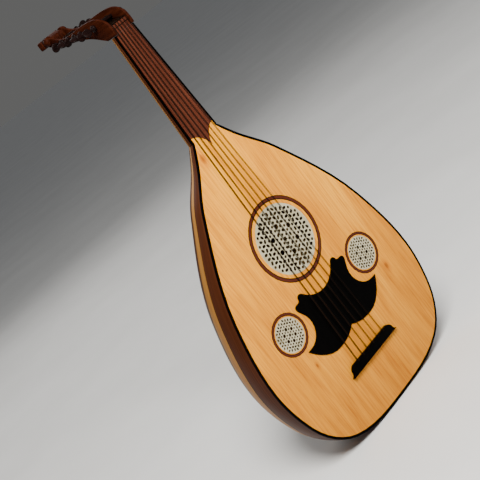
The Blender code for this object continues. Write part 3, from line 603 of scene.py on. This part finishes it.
def turned_piece(name, profile, steps=32):
    """A piece turned about Z from a profile of (radius, height), listed from its top down."""
    mesh = bpy.data.meshes.new(name)
    edges = [(i, i + 1) for i in range(len(profile) - 1)]
    mesh.from_pydata([(r, 0.0, s) for r, s in profile], edges, [])
    piece = bpy.data.objects.new(name, mesh)
    bpy.context.scene.collection.objects.link(piece)
    apply_modifier(piece, "SCREW", steps=steps, render_steps=steps, use_merge_vertices=True,
                   merge_threshold=1e-6)
    face_outwards(piece)
    return piece


def smooth_line(points, steps):
    """Points of a smooth curve through the given ones."""
    points = [Vector(p) for p in points]
    padded = [2 * points[0] - points[1]] + points + [2 * points[-1] - points[-2]]
    result = []
    for i in range(len(points) - 1):
        a, b, c, d = padded[i:i + 4]
        for k in range(steps):
            t = k / steps
            result.append(0.5 * (2 * b + (c - a) * t + (2 * a - 5 * b + 4 * c - d) * t * t
                                 + (3 * b - a - 3 * c + d) * t ** 3))
    result.append(points[-1])
    return result


# ---------------------------------------------------------------- bowl

def body_outline(steps):
    """Half outline of the body in metres, from the tail to the neck joint."""
    points = []
    for (p0, a0), (p3, a3) in zip(OUTLINE_NODES, OUTLINE_NODES[1:]):
        p0, p3 = Vector(p0), Vector(p3)
        reach = (p3 - p0).length / 3
        p1 = p0 + reach * Vector((math.cos(math.radians(a0)), math.sin(math.radians(a0))))
        p2 = p3 - reach * Vector((math.cos(math.radians(a3)), math.sin(math.radians(a3))))
        for i in range(steps):
            t, s = i / steps, 1.0 - i / steps
            points.append(s ** 3 * p0 + 3 * s * s * t * p1 + 3 * s * t * t * p2 + t ** 3 * p3)
    points.append(Vector(OUTLINE_NODES[-1][0]))
    return [p * MM for p in points]


OUTLINE = body_outline(40)
LENGTHS = [0.0]
for first, second in zip(OUTLINE, OUTLINE[1:]):
    LENGTHS.append(LENGTHS[-1] + (second - first).length)


def outline_at(distance):
    """(half width, height) at a distance along the outline from the tail."""
    i = max(k for k, s in enumerate(LENGTHS[:-1]) if s <= distance)
    t = (distance - LENGTHS[i]) / (LENGTHS[i + 1] - LENGTHS[i])
    return OUTLINE[i].lerp(OUTLINE[i + 1], t)


def rib_edge(index):
    """Angle of the line before a rib, counted from the soundboard's -X edge."""
    if index in (0, RIB_COUNT):
        return math.pi * index / RIB_COUNT
    return OUTER_RIB_ANGLE + (index - 1) * (math.pi - 2 * OUTER_RIB_ANGLE) / (RIB_COUNT - 2)


def bowl_point(distance, angle):
    """Point of the bowl's outside at a distance along the outline and an angle round the bowl."""
    width, height = outline_at(distance)
    y = BOARD_BACK + BOWL_DEPTH_RATIO * width * math.sin(angle)
    return Vector((-width * math.cos(angle), y, height))


def distance_at(v):
    """Distance along the outline, with the points closer together near the tail."""
    return RIB_START + (LENGTHS[-1] - RIB_START) * v ** 1.1


def half_purfling(distance):
    """Half the angle of a black line between two ribs, thinner where the ribs run together."""
    width = outline_at(distance).x
    return min(PURFLING_WIDTH / 2 / width, 0.18 * math.pi / RIB_COUNT)


def away_from_axis(point):
    return Vector((point.x, point.y - BOARD_BACK, (point.z - 0.2) * 0.3))


def add_rib(index):
    def place(u, v):
        distance = distance_at(v)
        trim = half_purfling(distance)
        low = rib_edge(index) + (trim if index else 0.0)
        high = rib_edge(index + 1) - (trim if index < RIB_COUNT - 1 else 0.0)
        return bowl_point(distance, low + (high - low) * u)

    rib = sheet_from_formula("bowl_rib_%02d" % (index + 1), 5, RIB_CUTS, place)
    thicken(rib, RIB_THICKNESS, away_from_axis)
    round_edges(rib, 0.15 * MM, 1, 60)
    smooth(rib, 40)
    dark = index % 2 == 0
    finish_piece(rib, bowl_wood(index + 1, dark),
                 ("rib_%02d" % (index + 1),))


def add_purfling(black):
    """The black line between each two ribs."""
    lines = []
    for index in range(1, RIB_COUNT):
        def place(u, v, middle=rib_edge(index)):
            distance = distance_at(v)
            return bowl_point(distance, middle + (2 * u - 1) * half_purfling(distance) * 0.97)
        line = sheet_from_formula("line", 1, RIB_CUTS, place)
        thicken(line, RIB_THICKNESS, away_from_axis)
        lines.append(line)
    purfling = join_pieces(lines, "bowl_purfling")
    smooth(purfling, 50)
    finish_piece(purfling, black)


def add_tail_point(black):
    """The small black boss where all the ribs meet."""
    boss = turned_piece("tail_point", [(0.0, 0.1 * MM), (1.2 * MM, 0.15 * MM), (2.1 * MM, 0.5 * MM),
                                       (2.1 * MM, 3.0 * MM), (0.0, 3.0 * MM)][::-1], 24)
    select_only(boss)
    bpy.ops.object.mode_set(mode="EDIT")
    bpy.ops.mesh.select_all(action="SELECT")
    bpy.ops.mesh.bisect(plane_co=(0, 0, 0), plane_no=(0, 1, 0), clear_inner=True, use_fill=True)
    bpy.ops.mesh.select_all(action="SELECT")
    bpy.ops.transform.translate(value=(0, BOARD_BACK, 0))
    bpy.ops.object.mode_set(mode="OBJECT")
    face_outwards(boss)
    smooth(boss, 40)
    finish_piece(boss, black, ("tail_block",))


# ---------------------------------------------------------------- neck

def neck_point(u_angle, t, inset=0.0):
    """Point of the neck's back at an angle round it, t = 0 at the body and 1 at the pegbox."""
    half = NECK_HALF_WIDTHS[0] + (NECK_HALF_WIDTHS[1] - NECK_HALF_WIDTHS[0]) * t - inset
    depth = NECK_DEPTHS[0] + (NECK_DEPTHS[1] - NECK_DEPTHS[0]) * t - inset
    z = NECK_Z[0] + (NECK_Z[1] - NECK_Z[0]) * t
    return Vector((-half * math.cos(u_angle), NECK_BACK + depth * math.sin(u_angle), z))


def add_neck():
    """Light and dark strips side by side round the back of the neck."""
    step = math.pi / NECK_STRIPS
    for index in range(NECK_STRIPS):
        dark = index % 2 == 0

        def place(u, v, low=index * step):
            return neck_point(low + step * (0.012 + 0.976 * u), v)

        strip = sheet_from_formula("neck_strip_%02d" % (index + 1), 4, 12, place)
        thicken(strip, 2.0 * MM, lambda point: Vector((point.x, point.y - NECK_BACK, 0)))
        round_edges(strip, 0.08 * MM, 1, 60)
        smooth(strip, 40)
        replaced = ("neck",) if index == 0 else ()
        finish_piece(strip, bowl_wood(20 + index, dark), replaced)


def add_neck_core(wood):
    """The neck's solid middle, seen only as its end under the pegbox."""
    outline = [neck_point(math.pi * i / 32, 1.0, 2.1 * MM) for i in range(33)]
    length = NECK_Z[1] - NECK_Z[0]
    core = plate_from_outline("neck_core", [(p.x, p.y) for p in outline], NECK_Z[0] + length * 0.93,
                              NECK_Z[1] + 0.2 * MM, lambda u, v, w: (u, v, w))
    finish_piece(core, wood)


# ---------------------------------------------------------------- rosettes

# Net pitch in mm for a disc of radius 54.3, and how many steps out the six wide holes sit
ROSETTE_NETS = {"main": (7.6, 3), "left": (10.4, 2), "right": (10.4, 2)}
SLOT_LENGTH = 0.98          # in pitches
SLOT_WIDTH = 0.56
SLOT_POINT = 0.45           # how much of each half of a slot tapers
WIDE_HOLE_RADIUS = 0.58
STAR_RADII = (0.62, 0.38)   # points and hollows of the middle star
SHORT_SLOT = 0.66           # length of a slot beside a wide hole or the rim
BESIDE = 1.2
HOLES_REACH = 52.9
ROSETTE_RADIUS = 54.3
RIM_POINTS = 96
FRETWORK_DEPTH = 0.7        # mm
TURN = math.radians(60)
RING_WIDTHS = {"main": 6.1 * MM, "left": 4.4 * MM, "right": 4.4 * MM}


def compass(degrees):
    """Unit vector at an angle from the disc's upward axis."""
    return Vector((math.sin(math.radians(degrees)), math.cos(math.radians(degrees))))


def fret_holes(pitch, wide_step):
    """Outlines of the holes: pointed slots on a triangular net, mirrored six-fold about the middle."""
    holes = [[pitch * STAR_RADII[k % 2] * compass(30.0 * k) for k in range(12)]]
    for i in range(1, 8):
        for j in range(i + 1):
            place = pitch * (i * compass(0) + j * compass(60))
            outline = fret_hole(i, j, place, pitch, wide_step)
            if outline:
                holes += every_copy(outline, j in (0, i))
    return holes


def fret_hole(i, j, place, pitch, wide_step):
    """One hole of the net, or None beyond the rim."""
    if (i, j) == (wide_step, 0):
        return [place + WIDE_HOLE_RADIUS * pitch * compass(60 * k) for k in range(6)]
    length = SLOT_LENGTH * pitch
    beside_wide = (place - wide_step * pitch * compass(0)).length < BESIDE * pitch
    if beside_wide or i + j == 1 or place.length + length / 2 > HOLES_REACH:
        length *= SHORT_SLOT
    if place.length + length / 2 > HOLES_REACH + 0.4:
        return None
    if j == 0:
        heading = 90.0 * (i % 2)
    elif i == j:
        heading = 120.0
    else:
        heading = 30.0 + 60.0 * ((i - j - 1) % 3)
    along = compass(heading) * length / 2
    across = compass(heading + 90.0) * SLOT_WIDTH * pitch / 2
    full = 1.0 - SLOT_POINT
    corners = ((1, 0), (full, 1), (-full, 1), (-1, 0), (-full, -1), (full, -1))
    return [place + a * along + b * across for a, b in corners]


def every_copy(outline, on_mirror_line):
    """The outline turned to all six sectors, and mirrored unless it lies on a mirror line."""
    sources = [outline]
    if not on_mirror_line:
        sources.append([Vector((-p.x, p.y)) for p in outline])
    copies = []
    for source in sources:
        for k in range(6):
            turn = Matrix.Rotation(TURN * k, 2)
            copies.append([turn @ p for p in source])
    return copies


def add_rosette(name, x, z, radius, ivory):
    """A fretted disc: rim and holes drawn as closed lines, filled between, then given its thickness."""
    size = radius / ROSETTE_RADIUS
    rim = []
    for k in range(RIM_POINTS):
        angle = 2 * math.pi * k / RIM_POINTS
        rim.append(ROSETTE_RADIUS * Vector((math.cos(angle), math.sin(angle))))
    points, edges = [], []
    for outline in [rim] + fret_holes(*ROSETTE_NETS[name]):
        first, count = len(points), len(outline)
        points += [(p.x, p.y, 0.0) for p in outline]
        edges += [(first + k, first + (k + 1) % count) for k in range(count)]
    mesh = bpy.data.meshes.new("rosette_fretwork_" + name)
    mesh.from_pydata(points, edges, [])
    disc = bpy.data.objects.new("rosette_fretwork_" + name, mesh)
    bpy.context.scene.collection.objects.link(disc)
    select_only(disc)
    bpy.ops.object.mode_set(mode="EDIT")
    bpy.ops.mesh.select_all(action="SELECT")
    bpy.ops.mesh.fill(use_beauty=False)
    bpy.ops.mesh.select_all(action="SELECT")
    bpy.ops.mesh.extrude_region_move(TRANSFORM_OT_translate={"value": (0, 0, -FRETWORK_DEPTH)})
    bpy.ops.object.mode_set(mode="OBJECT")
    face_outwards(disc)
    disc.data.transform(Matrix.Diagonal((size, size, MM, 1)))
    disc.data.transform(Matrix.Translation((x, 0.2 * MM, z)) @ Matrix.Rotation(math.pi / 2, 4, "X"))
    smooth(disc, 30)
    finish_piece(disc, ivory, ("rosette_" + name,))


def add_rosettes(ivory):
    for name in ("main", "left", "right"):
        low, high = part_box("rosette_" + name)
        x, z = (low[0] + high[0]) / 2, (low[2] + high[2]) / 2
        add_rosette(name, x, z, (high[0] - low[0]) / 2, ivory)
        ring_low, ring_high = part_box("ring_inlay_" + name)
        outer = (ring_high[0] - ring_low[0]) / 2
        dress("ring_inlay_" + name, ring_veneer(name, x, z, outer - RING_WIDTHS[name], outer))


# ---------------------------------------------------------------- bridge, nut and strings

def front_plane(u, v, w):
    return (u, w, v)


def course_offsets(spacing):
    """x of each string at a place where the pairs lie this far apart, thick strings first."""
    sides = (-0.5, 0.5)
    return [(course - 2.5) * spacing + side * PAIR_SPACING for course in range(6) for side in sides]


def add_bridge(black, strings):
    """The black bridge with its rounded top, and the loop with which each string is tied to it."""
    half = [(61.0, 0.0), (58.8, 0.9), (57.2, 2.0), (55.8, 3.2), (55.0, 4.6), (54.5, 6.4), (54.4, 8.4),
            (53.8, 9.9), (52.8, 11.2), (51.5, 12.5), (50.0, 13.7), (48.4, 14.7), (46.5, 15.4)]
    half = [(x * MM, BRIDGE_REAR_Z + z * MM) for x, z in half]
    outline = half + [(-x, z) for x, z in reversed(half)]
    bridge = plate_from_outline("bridge_block", outline, -0.1 * MM, BRIDGE_TOP_Y, front_plane)
    round_edges(bridge, 0.9 * MM, 3, 50)
    smooth(bridge, 35)
    finish_piece(bridge, black, ("bridge",))
    loops = []
    for index, x in enumerate(course_offsets(COURSE_SPACING)):
        r = STRING_RADII[index // 2] * MM
        front, top = BRIDGE_FRONT_Z + r + 0.05 * MM, BRIDGE_TOP_Y - r
        side = x + 1.9 * r
        loops.append([(x, -4.2 * MM, front + 0.5 * MM), (x, -5.6 * MM, front),
                      (x, top, front - 0.9 * MM), (x + 0.4 * r, top, front - 3.0 * MM),
                      (side, top, front - 1.2 * MM),
                      (side, -5.4 * MM, front), (side, -3.4 * MM, front), (x - r, -3.2 * MM, front)])
    ties = tube_along("bridge_ties", [smooth_line(loop, 3) for loop in loops], 0.36 * MM, 6)
    smooth(ties, 50)
    finish_piece(ties, strings)


def add_nut(wood):
    """The nut, cut with a shallow groove under each string."""
    low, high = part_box("nut")
    top, width = low[1], high[0]
    grooves = sorted(course_offsets(NUT_SPACING))
    outline = [(-width, top)]
    wide, narrow = GROOVE_HALF_WIDTHS
    for x in grooves:
        outline += [(x - wide, top), (x - narrow, top + GROOVE_DEPTH), (x + narrow, top + GROOVE_DEPTH),
                    (x + wide, top)]
    outline += [(width, top), (width, high[1]), (-width, high[1])]
    nut = plate_from_outline("nut_block", outline, low[2], high[2], lambda u, v, w: (u, v, w))
    round_edges(nut, 0.15 * MM, 2, 60)
    smooth(nut, 35)
    finish_piece(nut, wood, ("nut",))


# ---------------------------------------------------------------- pegbox

def cheek_outer_x(y):
    return CHEEK_OUTER_X - CHEEK_TAPER * max(y, 0.0)


def pegbox_back_line(inset):
    """The rear curve of the pegbox, moved into the pegbox by inset."""
    line = smooth_line([Vector(p) * MM for p in PEGBOX_BACK], 4)
    moved = []
    for i, point in enumerate(line):
        along = (line[min(i + 1, len(line) - 1)] - line[max(i - 1, 0)]).normalized()
        moved.append(point + inset * Vector((-along.y, along.x)))
    return moved


def add_cheeks(wood):
    top = [(p.x, p.y) for p in smooth_line([Vector(p) * MM for p in CHEEK_TOP], 5)]
    under = [(p.x, p.y) for p in pegbox_back_line(BACK_PLATE_THICKNESS + 0.05 * MM) if p.x < 0.147]
    eye = []
    for i in range(17):
        angle = math.radians(-75 + 200 * i / 16)
        eye.append((EYE[0] + EYE_RIM * math.cos(angle), EYE[1] + EYE_RIM * math.sin(angle)))
    outline = [(16.6 * MM, 683.2 * MM)] + under + eye + list(reversed(top))
    for name, side in (("left", -1), ("right", 1)):
        def to_space(u, v, w, side=side):
            return (side * (cheek_outer_x(u) - w), u, v)
        cheek = plate_from_outline("pegbox_side_" + name, outline, 0.0, CHEEK_THICKNESS, to_space)
        round_edges(cheek, 0.7 * MM, 2, 50)
        smooth(cheek, 40)
        finish_piece(cheek, wood, ("pegbox_cheek_" + name,))


def add_back_plate(wood):
    line = pegbox_back_line(0.0)

    def place(u, v):
        position = v * (len(line) - 1)
        i = min(int(position), len(line) - 2)
        point = line[i].lerp(line[i + 1], position - i)
        return Vector(((2 * u - 1) * cheek_outer_x(point.x), point.x, point.y))

    plate = sheet_from_formula("pegbox_back_plate", 6, 48, place)
    thicken(plate, BACK_PLATE_THICKNESS, lambda point: Vector((0, 0.5, -1)))
    round_edges(plate, 0.5 * MM, 2, 50)
    smooth(plate, 40)
    finish_piece(plate, wood, ("pegbox_back",))


def add_finial(wood):
    """The wedge at the far end, with its waist and square cap."""
    stages = ((137.0, 11.8, 725.4, 737.6), (153.2, 11.4, 730.6, 743.0), (154.0, 13.9, 729.2, 743.0),
              (158.5, 13.6, 729.3, 743.0), (166.0, 11.2, 729.8, 742.8), (173.7, 8.7, 730.4, 742.4))

    def place(u, v):
        position = v * (len(stages) - 1)
        i = min(int(position), len(stages) - 2)
        t = position - i
        y, half, low, high = (a + (b - a) * t for a, b in zip(stages[i], stages[i + 1]))
        corners = ((-half, low), (half, low), (half, high), (-half, high), (-half, low))
        k = min(int(u * 4), 3)
        s = u * 4 - k
        x = corners[k][0] + (corners[k + 1][0] - corners[k][0]) * s
        z = corners[k][1] + (corners[k + 1][1] - corners[k][1]) * s
        return Vector((x, y, z)) * MM

    wedge = sheet_from_formula("pegbox_finial", 4, 5, place)
    select_only(wedge)
    bpy.ops.object.mode_set(mode="EDIT")
    bpy.ops.mesh.select_all(action="SELECT")
    bpy.ops.mesh.remove_doubles(threshold=1e-5)
    bpy.ops.mesh.select_all(action="DESELECT")
    bpy.ops.mesh.select_non_manifold()
    bpy.ops.mesh.fill_holes(sides=0)
    bpy.ops.object.mode_set(mode="OBJECT")
    face_outwards(wedge)
    round_edges(wedge, 0.7 * MM, 2, 30)
    smooth(wedge, 35)
    finish_piece(wedge, wood, ("finial",))
    low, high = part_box("finial_cap")
    deselect_all()
    bpy.ops.mesh.primitive_cube_add(size=1.0)
    cap = bpy.context.object
    cap.name = "pegbox_cap"
    low, high = Vector(low), Vector(high)
    cap.data.transform(Matrix.LocRotScale((low + high) / 2, None, high - low))
    round_edges(cap, 2.2 * MM, 4, 30)
    smooth(cap, 40)
    finish_piece(cap, wood, ("finial_cap",))


def add_scroll_eyes(wood):
    """A turned button on each side of the far end."""
    for name, side in (("left", -1), ("right", 1)):
        base = cheek_outer_x(EYE[0] - EYE_RADIUS) + 0.1 * MM
        profile = [(0.0, 6.4), (1.6, 6.3), (3.6, 5.6), (5.4, 3.9), (6.3, 1.8), (6.55, 0.8), (6.5, 0.0),
                   (0.0, 0.0)]
        button = turned_piece("scroll_button_" + name, [(r * MM, s * MM) for r, s in profile], 32)
        place = Matrix.Translation((side * base, *EYE)) @ Matrix.Rotation(side * math.pi / 2, 4, "Y")
        button.data.transform(place)
        smooth(button, 40)
        finish_piece(button, wood, ("scroll_eye_" + name,))


# ---------------------------------------------------------------- pegs

def make_peg_master():
    """Shaft, collar, stem and flat oval head, along +Z with the cheek's outer face at height 0."""
    profile = [(0.0, 10.8), (2.1, 10.6), (2.25, 8.5), (2.5, 6.6), (3.4, 5.7), (4.7, 4.9), (5.3, 3.6),
               (5.35, 2.6), (4.9, 1.6), (4.0, 1.1), (3.1, 0.9), (2.5, -42.0), (0.0, -42.0)]
    shaft = turned_piece("peg_master", [(r * MM, s * MM) for r, s in profile], 24)
    deselect_all()
    bpy.ops.mesh.primitive_uv_sphere_add(segments=24, ring_count=14, radius=1.0)
    head = bpy.context.object
    for vertex in head.data.vertices:
        x, y, s = vertex.co
        waist = 1.0 - 0.16 * max(0.0, -s) ** 2 + 0.05 * s
        flat = 1.0 - 0.34 * (1.0 - min(1.0, x * x + s * s))
        vertex.co = Vector((x * waist * 7.1, y * 2.7 * flat, 16.4 + s * 8.0)) * MM
    return join_pieces([shaft, head], "peg_master")


def add_pegs(wood, strings):
    master = make_peg_master()
    for side_name, side in (("left", -1), ("right", 1)):
        for i, turn in enumerate(PEG_TURNS[side_name]):
            node = "peg_%s_%d" % (side_name, i + 1)
            joint = next(j for j in frame["record"]["behaviour"]["joints"] if j["child"] == node)
            y, z = joint["pos_m"][1], joint["pos_m"][2]
            outer = cheek_outer_x(y)
            mesh = master.data.copy()
            peg = bpy.data.objects.new(node.replace("peg", "tuning_peg"), mesh)
            bpy.context.scene.collection.objects.link(peg)
            for vertex in mesh.vertices:
                if vertex.co.z < -30 * MM:          # the shaft's tip, set to end past the other cheek
                    vertex.co.z = -(2 * outer + SHAFT_OVERHANG)
            point_out = Matrix.Rotation(side * math.pi / 2, 4, "Y")
            spin = Matrix.Rotation(math.radians(90 + side * turn), 4, "Z")
            place = Matrix.Translation((side * outer, y, z)) @ point_out @ spin
            mesh.transform(place)
            face_outwards(peg)
            smooth(peg, 40)
            finish_piece(peg, wood, (node,), node)
            add_winding(node, side, i, y, z, strings)
    bpy.data.objects.remove(master)


def add_winding(node, side, i, y, z, strings):
    """The turns of string round a peg's shaft."""
    order = i if side < 0 else 11 - i
    r = STRING_RADII[order // 2] * MM
    x_nut = (order // 2 - 2.5) * NUT_SPACING + (order % 2 - 0.5) * PAIR_SPACING
    x = x_nut * (1.0 - STRING_CONVERGENCE * y)
    outer = cheek_outer_x(y)
    route = []
    for k in range(WINDING_TURNS * WINDING_STEPS + 1):
        turned = k / WINDING_STEPS
        angle = WINDING_START - 2 * math.pi * turned
        along = x - side * WINDING_PITCH * r * turned
        radius = SHAFT_ROOT_RADIUS - SHAFT_TAPER * (outer - side * along) / (2 * outer) + r
        route.append((along, y + radius * math.cos(angle), z + radius * math.sin(angle)))
    winding = tube_along(node + "_winding", [route], r, 6)
    smooth(winding, 50)
    finish_piece(winding, strings, (), node)


# ---------------------------------------------------------------- everything

def dress_cad_nodes(black, brown, wound, plain):
    dress("soundboard", spruce())
    dress("fingerboard", brown)
    dress("pegbox_root", brown)
    for node in ("pickguard", "edge_binding", "neck_binding_left", "neck_binding_right"):
        dress(node, black)
    for index in range(6):
        dress("string_pair_%d" % (index + 1), wound if index < 4 else plain)
    inside = bare_wood()
    dress("soundboard_frame", inside)
    dress("neck_block", inside)


def main():
    set_camera()
    set_lights()
    add_floor()
    black, brown, red = ebony(), rosewood(), mahogany()
    ivory, wound, plain = fretwork_ivory(), wound_string(True), wound_string(False)
    dress_cad_nodes(black, brown, wound, plain)
    for index in range(RIB_COUNT):
        add_rib(index)
    add_purfling(black)
    add_tail_point(black)
    add_neck()
    add_neck_core(red)
    add_rosettes(ivory)
    add_bridge(black, plain)
    add_nut(brown)
    add_cheeks(red)
    add_back_plate(red)
    add_finial(red)
    add_scroll_eyes(red)
    add_pegs(peg_wood(), wound)


main()
